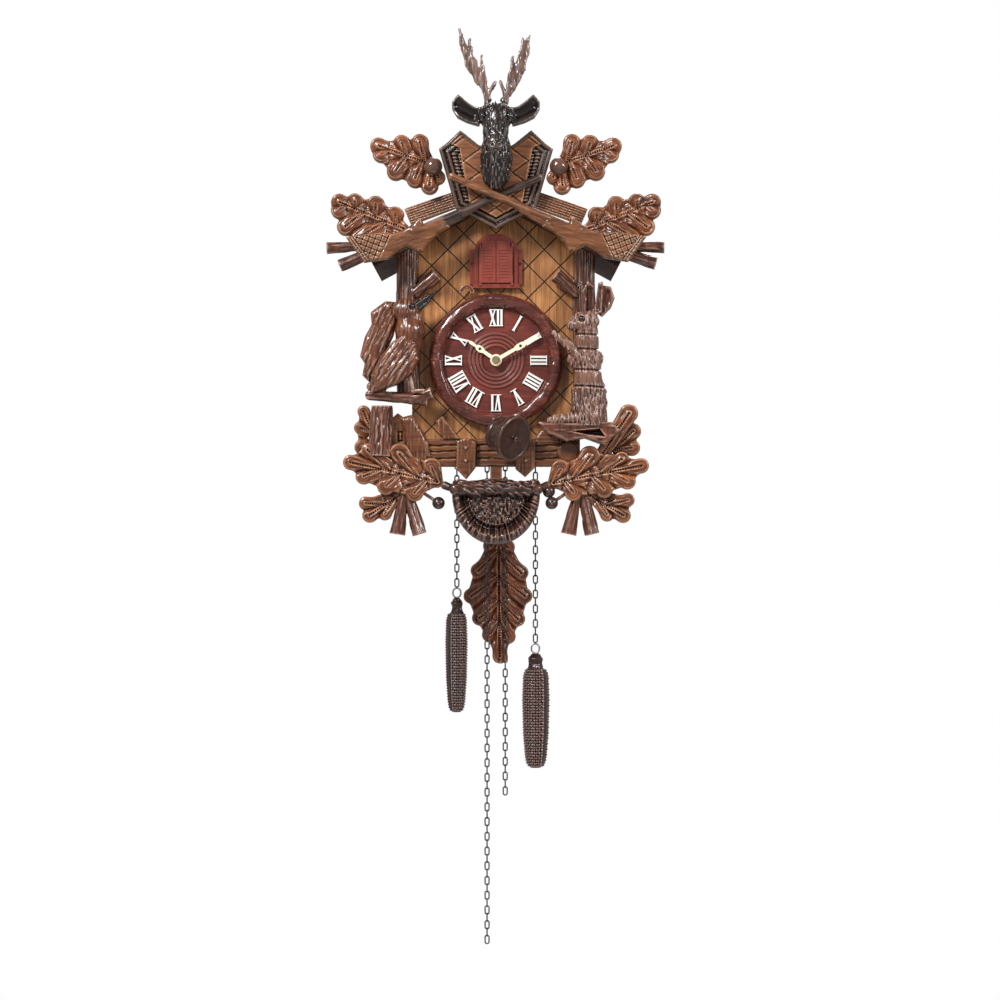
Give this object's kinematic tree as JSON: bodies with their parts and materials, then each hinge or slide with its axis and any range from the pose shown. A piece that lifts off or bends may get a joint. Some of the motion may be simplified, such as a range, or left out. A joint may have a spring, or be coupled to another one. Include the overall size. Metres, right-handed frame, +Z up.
{
  "type": "cuckoo clock",
  "caption": "Wall-hung carved wooden cuckoo clock with stag head, crossed rifles, leaves and animals, chains with cone weights and a leaf pendulum.",
  "frame": {"origin": "centre of the hanging hole in the plate at the back, in the plane of the wall", "axes": "+Z up, +Y into the wall, +X to the right as seen from the front, so the clock's front faces -Y"},
  "size_m": [0.2926, 0.1903, 0.7884],
  "materials": {
    "case_wood": "light stained pine, satin lacquer",
    "side_wood": "brown stained, satin lacquer",
    "back_wood": "raw plywood",
    "roof_wood": "brown stained, satin lacquer",
    "dark_wood": "dark stained, glossy lacquer",
    "gable_wood": "brown stained, grooved",
    "leaf_wood": "carved, reddish brown stain, satin lacquer",
    "bark_wood": "carved bark, brown stain",
    "stag_wood": "carved, almost black stain, glossy",
    "antler_plastic": "greyish horn colour",
    "bird_wood": "carved, shaded brown stain",
    "hare_wood": "carved, pinkish brown, speckled",
    "bag_wood": "carved fur, brown stain",
    "rifle_wood": "carved, brown stain, satin",
    "fence_wood": "brown stain, satin",
    "dial_wood": "dark red-brown lacquer",
    "numeral_plastic": "white",
    "hand_plastic": "ivory",
    "door_plastic": "red-brown",
    "shutter_plastic": "red-brown",
    "cuckoo_paint": "pale painted bird",
    "brass": "plain",
    "steel": "plain",
    "chain_steel": "browned",
    "iron": "dark brown paint",
    "pendulum_wood": "carved, reddish brown stain"
  },
  "bodies": {
    "case": {"front_board": "case_wood", "case_sides": "side_wood", "bottom_board": "side_wood", "back_board": "back_wood", "hanger_plate": "steel", "roof_boards": "roof_wood", "gable_boards": "gable_wood", "crown_frame": "dark_wood", "crown_panel": "case_wood", "stag_head": "stag_wood", "antlers": "antler_plastic", "rifle_left": "rifle_wood", "rifle_right": "rifle_wood", "leaves_top": "leaf_wood", "leaves_middle": "leaf_wood", "leaves_lower": "leaf_wood", "twigs_upper": "bark_wood", "twigs_lower": "bark_wood", "trunks": "bark_wood", "woodpecker": "bird_wood", "hare": "hare_wood", "perches": "bark_wood", "fence": "fence_wood", "game_bag": "bag_wood", "flask": "dark_wood", "dial_ring": "dark_wood", "dial_plate": "dial_wood", "numerals": "numeral_plastic", "door_frame": "door_plastic", "movement_plates": "brass", "movement_pillars": "steel", "bellows_boxes": "back_wood", "gong": "steel"},
    "back_door": {"back_door": "back_wood"},
    "minute_hand": {"minute_hand": "hand_plastic", "minute_arbor": "steel", "hand_nut": "brass"},
    "hour_hand": {"hour_hand": "hand_plastic", "hour_wheel": "brass"},
    "minute_wheel": {"minute_wheel": "brass"},
    "shutter_left": {"shutter_left": "shutter_plastic"},
    "shutter_right": {"shutter_right": "shutter_plastic"},
    "cuckoo": {"cuckoo_bird": "cuckoo_paint"},
    "pendulum": {"pendulum_rod": "brass", "pendulum_leaf": "pendulum_wood"},
    "anchor": {"anchor_and_crutch": "steel"},
    "escape_wheel": {"escape_wheel": "brass"},
    "centre_wheel": {"centre_wheel": "brass"},
    "time_great_wheel": {"time_great_wheel": "brass"},
    "strike_great_wheel": {"strike_great_wheel": "brass"},
    "pin_wheel": {"pin_wheel": "brass"},
    "time_weight": {"time_weight": "iron", "time_chain_loaded": "chain_steel"},
    "time_chain_free": {"time_chain_free": "chain_steel"},
    "strike_weight": {"strike_weight": "iron", "strike_chain_loaded": "chain_steel"},
    "strike_chain_free": {"strike_chain_free": "chain_steel"},
    "bellows_lid_left": {"bellows_lid_left": "back_wood"},
    "bellows_lid_right": {"bellows_lid_right": "back_wood"},
    "gong_hammer": {"gong_hammer": "steel"}
  },
  "joints": [
    {"name": "back_door_hinge", "type": "hinge", "parent": "case", "child": "back_door", "pos_m": [-0.0465, -0.004, -0.12], "axis": [0, 0, 1], "range_deg": [0, 90]},
    {"name": "minute_hand_turn", "type": "hinge", "parent": "case", "child": "minute_hand", "pos_m": [0, -0.125, -0.124], "axis": [0, 1, 0], "continuous": true},
    {"name": "hour_hand_turn", "type": "hinge", "parent": "case", "child": "hour_hand", "pos_m": [0, -0.124, -0.124], "axis": [0, 1, 0], "continuous": true},
    {"name": "minute_wheel_turn", "type": "hinge", "parent": "case", "child": "minute_wheel", "pos_m": [0.01335, -0.087, -0.11861], "axis": [0, 1, 0], "continuous": true},
    {"name": "cuckoo_slide", "type": "slide", "parent": "case", "child": "cuckoo", "axis": [0, -1, 0], "range_m": [0, 0.045]},
    {"name": "shutter_left_hinge", "type": "hinge", "parent": "case", "child": "shutter_left", "pos_m": [-0.0136, -0.1214, -0.04], "axis": [0, 0, -1], "range_deg": [0, 105]},
    {"name": "shutter_right_hinge", "type": "hinge", "parent": "case", "child": "shutter_right", "pos_m": [0.0136, -0.1214, -0.04], "axis": [0, 0, 1], "range_deg": [0, 105]},
    {"name": "pendulum_swing", "type": "hinge", "parent": "case", "child": "pendulum", "pos_m": [0, -0.033, -0.064], "axis": [0, 1, 0], "range_deg": [-6, 6]},
    {"name": "anchor_swing", "type": "hinge", "parent": "case", "child": "anchor", "pos_m": [0, -0.045, -0.064], "axis": [0, 1, 0], "range_deg": [-6, 6]},
    {"name": "escape_wheel_turn", "type": "hinge", "parent": "case", "child": "escape_wheel", "pos_m": [0, -0.049, -0.088], "axis": [0, 1, 0], "continuous": true},
    {"name": "time_weight_drop", "type": "slide", "parent": "case", "child": "time_weight", "axis": [0, 0, -1], "range_m": [-0.06, 0.06]},
    {"name": "time_chain_free_rise", "type": "slide", "parent": "case", "child": "time_chain_free", "axis": [0, 0, 1], "range_m": [-0.06, 0.06]},
    {"name": "time_great_wheel_turn", "type": "hinge", "parent": "case", "child": "time_great_wheel", "pos_m": [-0.0213, -0.069, -0.15], "axis": [0, 1, 0], "range_deg": [-260.5, 260.5]},
    {"name": "centre_wheel_turn", "type": "hinge", "parent": "case", "child": "centre_wheel", "pos_m": [0, -0.069, -0.124], "axis": [0, 1, 0], "range_deg": [-348.33, 348.33]},
    {"name": "strike_weight_drop", "type": "slide", "parent": "case", "child": "strike_weight", "axis": [0, 0, -1], "range_m": [-0.06, 0.06]},
    {"name": "strike_chain_free_rise", "type": "slide", "parent": "case", "child": "strike_chain_free", "axis": [0, 0, 1], "range_m": [-0.06, 0.06]},
    {"name": "strike_great_wheel_turn", "type": "hinge", "parent": "case", "child": "strike_great_wheel", "pos_m": [0.0213, -0.074, -0.15], "axis": [0, 1, 0], "range_deg": [-260.5, 260.5]},
    {"name": "pin_wheel_turn", "type": "hinge", "parent": "case", "child": "pin_wheel", "pos_m": [0.0303, -0.074, -0.1226], "axis": [0, 1, 0], "range_deg": [-522, 522]},
    {"name": "bellows_left_hinge", "type": "hinge", "parent": "case", "child": "bellows_lid_left", "pos_m": [-0.051, -0.05, -0.0708], "axis": [-1, 0, 0], "range_deg": [0, 12]},
    {"name": "bellows_right_hinge", "type": "hinge", "parent": "case", "child": "bellows_lid_right", "pos_m": [0.051, -0.05, -0.0708], "axis": [-1, 0, 0], "range_deg": [0, 12]},
    {"name": "gong_hammer_swing", "type": "hinge", "parent": "case", "child": "gong_hammer", "pos_m": [-0.03, -0.03, -0.168], "axis": [0, 1, 0], "range_deg": [0, 5]}
  ],
  "couplings": [
    {"joint": "hour_hand_turn", "follows": "minute_hand_turn", "ratio": 0.083333},
    {"joint": "minute_wheel_turn", "follows": "minute_hand_turn", "ratio": -0.33333},
    {"joint": "shutter_left_hinge", "follows": "cuckoo_slide", "rad_per_m": 40.53},
    {"joint": "shutter_right_hinge", "follows": "cuckoo_slide", "rad_per_m": 40.53},
    {"joint": "anchor_swing", "follows": "pendulum_swing", "ratio": 1},
    {"joint": "time_chain_free_rise", "follows": "time_weight_drop", "ratio": 1},
    {"joint": "time_great_wheel_turn", "follows": "time_weight_drop", "rad_per_m": -75.188},
    {"joint": "centre_wheel_turn", "follows": "time_weight_drop", "rad_per_m": 100.25},
    {"joint": "strike_chain_free_rise", "follows": "strike_weight_drop", "ratio": 1},
    {"joint": "strike_great_wheel_turn", "follows": "strike_weight_drop", "rad_per_m": 75.188},
    {"joint": "pin_wheel_turn", "follows": "strike_weight_drop", "rad_per_m": -150.38}
  ]
}
